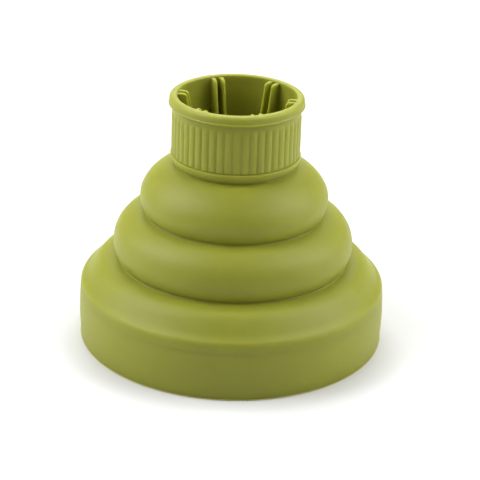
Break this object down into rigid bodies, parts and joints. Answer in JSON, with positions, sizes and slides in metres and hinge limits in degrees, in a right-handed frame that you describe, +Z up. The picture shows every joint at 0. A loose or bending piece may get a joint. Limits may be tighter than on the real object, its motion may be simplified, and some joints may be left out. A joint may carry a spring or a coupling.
{
  "type": "dryer diffuser",
  "caption": "Collapsible silicone hair dryer diffuser: ribbed collar with grip fins, folding domed tiers, straight skirt and a pronged, vented plate inside it.",
  "frame": {"origin": "centre of the circle that the skirt stands on", "axes": "+Z up through the collar's mouth, along the axis of revolution; -Y is the front"},
  "size_m": [0.1384, 0.1384, 0.115],
  "materials": {
    "silicone": "matte olive green silicone",
    "plate": "matte olive green moulded plate"
  },
  "bodies": {
    "skirt": {"skirt": "silicone", "lower_web": "silicone", "diffuser_plate": "plate", "diffuser_prongs": "plate"},
    "middle_ring": {"middle_ring": "silicone", "middle_web": "silicone"},
    "upper_ring": {"upper_ring": "silicone", "upper_web": "silicone"},
    "collar": {"collar": "silicone"},
    "fin_1_left": {"grip_fin_1_left": "silicone"},
    "fin_1_right": {"grip_fin_1_right": "silicone"},
    "fin_2_left": {"grip_fin_2_left": "silicone"},
    "fin_2_right": {"grip_fin_2_right": "silicone"},
    "fin_3_left": {"grip_fin_3_left": "silicone"},
    "fin_3_right": {"grip_fin_3_right": "silicone"},
    "fin_4_left": {"grip_fin_4_left": "silicone"},
    "fin_4_right": {"grip_fin_4_right": "silicone"},
    "fin_5_left": {"grip_fin_5_left": "silicone"},
    "fin_5_right": {"grip_fin_5_right": "silicone"},
    "fin_6_left": {"grip_fin_6_left": "silicone"},
    "fin_6_right": {"grip_fin_6_right": "silicone"}
  },
  "joints": [
    {"name": "lower_fold", "type": "slide", "parent": "skirt", "child": "middle_ring", "axis": [0, 0, -1], "range_m": [0, 0.018], "deforming": ["lower_web"]},
    {"name": "middle_fold", "type": "slide", "parent": "middle_ring", "child": "upper_ring", "axis": [0, 0, -1], "range_m": [0, 0.02], "deforming": ["middle_web"]},
    {"name": "upper_fold", "type": "slide", "parent": "upper_ring", "child": "collar", "axis": [0, 0, -1], "range_m": [0, 0.02], "deforming": ["upper_web"]},
    {"name": "fin_1_left_bend", "type": "hinge", "parent": "collar", "child": "fin_1_left", "pos_m": [0.01472, 0.02119, 0.1], "axis": [0, 0, -1], "range_deg": [0, 50], "stiffness_Nm_per_rad": 0.002},
    {"name": "fin_1_right_bend", "type": "hinge", "parent": "collar", "child": "fin_1_right", "pos_m": [0.01767, 0.0188, 0.1], "axis": [0, 0, 1], "range_deg": [0, 50], "stiffness_Nm_per_rad": 0.002},
    {"name": "fin_2_left_bend", "type": "hinge", "parent": "collar", "child": "fin_2_left", "pos_m": [0.02571, -0.00215, 0.1], "axis": [0, 0, -1], "range_deg": [0, 50], "stiffness_Nm_per_rad": 0.002},
    {"name": "fin_2_right_bend", "type": "hinge", "parent": "collar", "child": "fin_2_right", "pos_m": [0.02512, -0.0059, 0.1], "axis": [0, 0, 1], "range_deg": [0, 50], "stiffness_Nm_per_rad": 0.002},
    {"name": "fin_3_left_bend", "type": "hinge", "parent": "collar", "child": "fin_3_left", "pos_m": [0.011, -0.02334, 0.1], "axis": [0, 0, -1], "range_deg": [0, 50], "stiffness_Nm_per_rad": 0.002},
    {"name": "fin_3_right_bend", "type": "hinge", "parent": "collar", "child": "fin_3_right", "pos_m": [0.00745, -0.0247, 0.1], "axis": [0, 0, 1], "range_deg": [0, 50], "stiffness_Nm_per_rad": 0.002},
    {"name": "fin_4_left_bend", "type": "hinge", "parent": "collar", "child": "fin_4_left", "pos_m": [-0.01472, -0.02119, 0.1], "axis": [0, 0, -1], "range_deg": [0, 50], "stiffness_Nm_per_rad": 0.002},
    {"name": "fin_4_right_bend", "type": "hinge", "parent": "collar", "child": "fin_4_right", "pos_m": [-0.01767, -0.0188, 0.1], "axis": [0, 0, 1], "range_deg": [0, 50], "stiffness_Nm_per_rad": 0.002},
    {"name": "fin_5_left_bend", "type": "hinge", "parent": "collar", "child": "fin_5_left", "pos_m": [-0.02571, 0.00215, 0.1], "axis": [0, 0, -1], "range_deg": [0, 50], "stiffness_Nm_per_rad": 0.002},
    {"name": "fin_5_right_bend", "type": "hinge", "parent": "collar", "child": "fin_5_right", "pos_m": [-0.02512, 0.0059, 0.1], "axis": [0, 0, 1], "range_deg": [0, 50], "stiffness_Nm_per_rad": 0.002},
    {"name": "fin_6_left_bend", "type": "hinge", "parent": "collar", "child": "fin_6_left", "pos_m": [-0.011, 0.02334, 0.1], "axis": [0, 0, -1], "range_deg": [0, 50], "stiffness_Nm_per_rad": 0.002},
    {"name": "fin_6_right_bend", "type": "hinge", "parent": "collar", "child": "fin_6_right", "pos_m": [-0.00745, 0.0247, 0.1], "axis": [0, 0, 1], "range_deg": [0, 50], "stiffness_Nm_per_rad": 0.002}
  ],
  "couplings": [
    {"joint": "fin_1_right_bend", "follows": "fin_1_left_bend", "ratio": 1},
    {"joint": "fin_2_left_bend", "follows": "fin_1_left_bend", "ratio": 1},
    {"joint": "fin_2_right_bend", "follows": "fin_1_left_bend", "ratio": 1},
    {"joint": "fin_3_left_bend", "follows": "fin_1_left_bend", "ratio": 1},
    {"joint": "fin_3_right_bend", "follows": "fin_1_left_bend", "ratio": 1},
    {"joint": "fin_4_left_bend", "follows": "fin_1_left_bend", "ratio": 1},
    {"joint": "fin_4_right_bend", "follows": "fin_1_left_bend", "ratio": 1},
    {"joint": "fin_5_left_bend", "follows": "fin_1_left_bend", "ratio": 1},
    {"joint": "fin_5_right_bend", "follows": "fin_1_left_bend", "ratio": 1},
    {"joint": "fin_6_left_bend", "follows": "fin_1_left_bend", "ratio": 1},
    {"joint": "fin_6_right_bend", "follows": "fin_1_left_bend", "ratio": 1}
  ]
}
